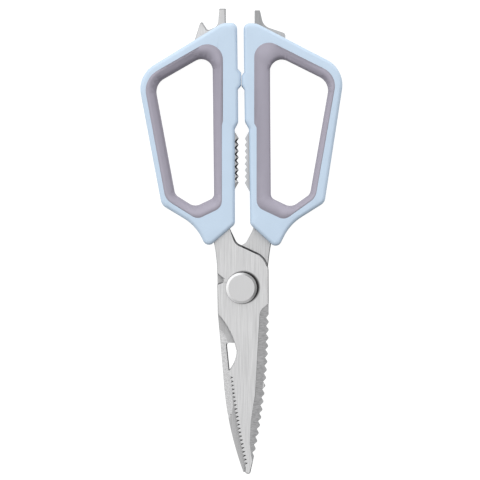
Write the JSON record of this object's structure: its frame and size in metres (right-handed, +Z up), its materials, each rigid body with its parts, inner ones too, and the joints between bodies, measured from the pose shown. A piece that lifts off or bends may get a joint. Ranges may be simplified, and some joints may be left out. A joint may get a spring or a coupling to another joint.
{
  "type": "kitchen shears",
  "caption": "Kitchen shears with crossed steel blades, soft-lined blue handles, a serrated edge, scaling teeth, a nutcracker and an opener claw, which open about a screwed pivot.",
  "frame": {"origin": "middle of the shears' outline, on the surface that the handle backs lie on", "axes": "+X to the right across the handles, +Y along the shears from the tips to the handles, +Z up through the front of the blades"},
  "size_m": [0.0933, 0.215, 0.013],
  "materials": {
    "front_steel": "stainless, brushed along the blade",
    "back_steel": "stainless, brushed along the blade",
    "blue_plastic": "satin moulded plastic, light blue",
    "taupe_rubber": "matt soft moulding, taupe grey",
    "stud_steel": "turned stainless",
    "screw_steel": "turned stainless",
    "washer_nylon": "natural nylon",
    "spring_steel": "spring steel"
  },
  "bodies": {
    "back_half": {"back_blade": "back_steel", "right_handle_shell": "blue_plastic", "right_handle_liner": "taupe_rubber", "pivot_stud": "stud_steel", "pivot_screw": "screw_steel", "friction_washer": "washer_nylon", "spring_washer": "spring_steel"},
    "front_half": {"front_blade": "front_steel", "left_handle_shell": "blue_plastic", "left_handle_liner": "taupe_rubber"}
  },
  "joints": [
    {"name": "blade_pivot", "type": "hinge", "parent": "back_half", "child": "front_half", "pos_m": [0, -0.0217, 0.0065], "axis": [0, 0, 1], "range_deg": [0, 105]}
  ]
}
